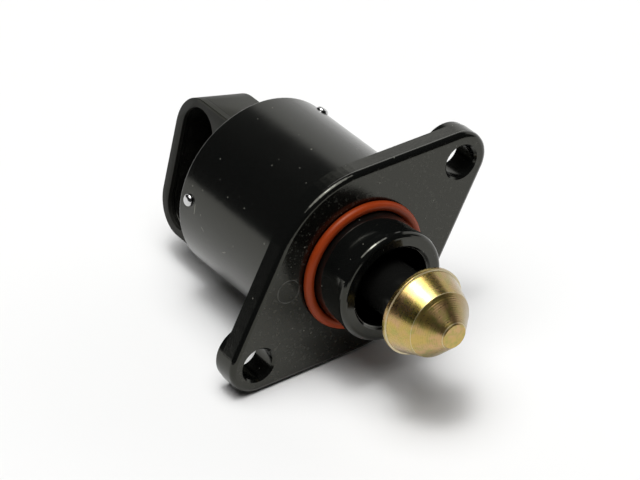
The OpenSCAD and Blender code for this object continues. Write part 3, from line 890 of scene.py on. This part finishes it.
# Pintle: a rim, a step, two cones and a flat tip, turned in one piece
def makePintle():
    shape = pintleShape
    start, end, rim = reach("pintle")
    cone = start + shape["rimWidth"]
    mid = cone + shape["firstCone"]
    bevelled = end - shape["tipBevel"]
    tip = shape["tipRadius"]
    bore, screw = shape["boreRadius"], shape["screwRadius"]
    screwEnd, boreEnd = start + shape["screwDepth"], start + shape["boreDepth"]
    foot = rim - shape["grooveDepth"]
    past, inward = shape["shoulder"]
    first, last = shape["midRadius"] - inward, tip + shape["tipBevel"] / 2
    inside = [(screwEnd, 0), (screwEnd, screw), (boreEnd, screw), (boreEnd, bore), (start, bore)]
    outside = rounded([(start, bore), (start, rim), (cone, rim), (cone, foot),
                       (cone + shape["grooveWidth"], foot), (mid, shape["midRadius"]),
                       (mid + past, first)], shape["rimRound"])
    run = bevelled - mid - past
    steps = shape["ridgeSteps"]
    count = int(run / shape["ridgePitch"]) * steps
    ridges = []
    for i in range(1, count):
        share = i / count
        lift = -shape["ridgeHeight"] * (1 + math.cos(i * 2 * math.pi / steps)) / 2
        ridges.append((bevelled - run + run * share, first + (last - first) * share + lift))
    nose = rounded([(bevelled, last), (end, tip - shape["tipBevel"] / 2), (end, 0)],
                   shape["tipRound"])
    mesh = turnedMesh(inside + outside[1:] + ridges + nose, finishOf("pintle"), segments=192)
    standsFor("pintle_turned", mesh, "pintle")


# Sealing rings, sleeve and retaining pins

# flash is the height of the mould's parting line, which shows round a ring
def makeRing(name, node, flash):
    start, end, outer = reach(node)
    section = (end - start) / 2
    middle = start + section
    outline = [(x, r + (flash if abs(x - middle) < 0.01 else 0))
               for x, r in circlePoints(middle, outer - section, section, 40)]
    standsFor(name, turnedMesh(outline, finishOf(node), segments=160), node)


sleeveShape = {"bore": 2.55, "endRound": 0.5}


def makeSleeve():
    start, end, outer = reach("plunger_sleeve")
    bore = sleeveShape["bore"]
    outline = rounded([(start, bore + 0.01), (start, outer), (end, outer), (end, bore)],
                      sleeveShape["endRound"])
    outline = [(end, bore), (start, bore)] + outline
    mesh = turnedMesh(outline, finishOf("plunger_sleeve"))
    standsFor("plunger_sleeve_turned", mesh, "plunger_sleeve")


pinShape = {
    "count": 3,
    "inset": 2.7,            # from the can's rear end
    "clock": 165.9,          # of the first pin, in degrees
    "canRadius": 17.3,
    "foot": 13.1,
    "shank": 0.7,
    "headRadius": 1.15,
    "headHeight": 0.65,
    "headFlat": 0.35,
    "headEdge": 0.06,        # height of the head's upright edge
    "headSteps": 12,
    "dent": (0.02, 0.12),    # depth in the head's top, and from the flat's rim
}


def makePins():
    shape = pinShape
    seat = shape["canRadius"]
    brim = seat + shape["headEdge"]
    rise = shape["headHeight"] - shape["headEdge"]
    outline = [(shape["foot"], 0), (shape["foot"], shape["shank"]), (seat, shape["shank"]),
               (seat, shape["headRadius"] - shape["headEdge"])]
    for i in range(shape["headSteps"] + 1):
        a = math.radians(90 * i / shape["headSteps"])
        dome = (shape["headRadius"] - shape["headFlat"]) * math.cos(a)
        outline.append((brim + rise * math.sin(a), shape["headFlat"] + dome))
    deep, aside = shape["dent"]
    bottom = seat + shape["headHeight"] - deep
    outline += [(bottom, shape["headFlat"] - aside), (bottom, 0)]
    pin = turnedMesh(outline, finishOf("retaining_pins"), segments=48)
    clock = math.radians(shape["clock"])
    outward = Matrix(((0, 0, -1, 0), (math.cos(clock), -math.sin(clock), 0, 0),
                      (math.sin(clock), math.cos(clock), 0, 0), (0, 0, 0, 1)))
    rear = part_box("front_housing")[0][0]
    pin.transform(Matrix.Translation((rear + shape["inset"] * mm, 0, 0)) @ outward)
    mesh = grownMesh("repeated", finishOf("retaining_pins"), pin, Count=shape["count"])
    standsFor("retaining_pin_heads", mesh, "retaining_pins")


# Lead screw with its rolled thread, wound coils and wavy spring washer

screwShape = {
    "depth": 0.35,         # of the thread
    "threadEnd": -9.2,     # X where the thread gives way to the flats
    "flatsFront": 8.0,
    "acrossFlats": 3.8,
    "roll": 30.8,          # degrees that the valve lies turned
    "bevel": 0.4,
    "rows": 420,
}
windingShape = {"pitch": 0.32, "bulge": 0.14, "steps": 6}
washerShape = {"waves": 3, "height": 0.16, "sheet": 0.3}


def makeScrew():
    start, end, outer = reach("lead_screw")
    shape = screwShape
    mesh = grownMesh("threaded", finishOf("lead_screw"), Rows=shape["rows"], Segments=48,
                     Start=start * mm, Length=(end - start) * mm, Radius=outer * mm,
                     Depth=shape["depth"] * mm, Pitch=mm, ThreadEnd=shape["threadEnd"] * mm,
                     FlatStart=shape["threadEnd"] * mm, FlatEnd=shape["flatsFront"] * mm,
                     AcrossFlats=shape["acrossFlats"] * mm, Roll=math.radians(shape["roll"]),
                     EndTaper=shape["bevel"] * mm)
    standsFor("lead_screw_threaded", mesh, "lead_screw")


# The coil's outside shows its turns of wire
def makeCoil(node, inner):
    start, end, outer = reach(node)
    count, steps = int((end - start) / windingShape["pitch"]), windingShape["steps"]
    turn = (end - start) / count
    outline = [(end, inner), (start, inner)]
    for i in range(count * steps + 1):
        bulge = abs(math.sin(i * math.pi / steps))
        outline.append((start + turn * i / steps, outer - windingShape["bulge"] * (1 - bulge)))
    outline.append((end, inner))
    standsFor(node + "_windings", turnedMesh(outline, finishOf(node), segments=72), node)


def makeWasher(inner):
    start, end, outer = reach("spring_washer")
    middle, sheet = (start + end) / 2, washerShape["sheet"] / 2
    high = min(washerShape["height"], (end - start) / 2 - sheet)
    outline = [(middle + sheet, inner), (middle - sheet, inner), (middle - sheet, outer),
               (middle + sheet, outer), (middle + sheet, inner)]
    mesh = turnedMesh(outline, finishOf("spring_washer"), waves=washerShape["waves"],
                      waveHeight=high)
    standsFor("spring_washer_wavy", mesh, "spring_washer")


# Radius of a node's hole, in millimetres
def holeRadius(node):
    spots = [v.co for v in nodes[node].data.vertices]
    return min(math.hypot(spot.y, spot.z) for spot in spots) / mm


makePintle()
makeScrew()
for node in ("front_coil", "rear_coil"):
    makeCoil(node, holeRadius(node))
makeWasher(holeRadius("spring_washer"))
makeRing("sealing_ring", "o_ring", flash=0.02)
makeRing("cover_sealing_ring", "cover_seal", flash=0.0)
makeSleeve()
makePins()
print("turned pieces made")
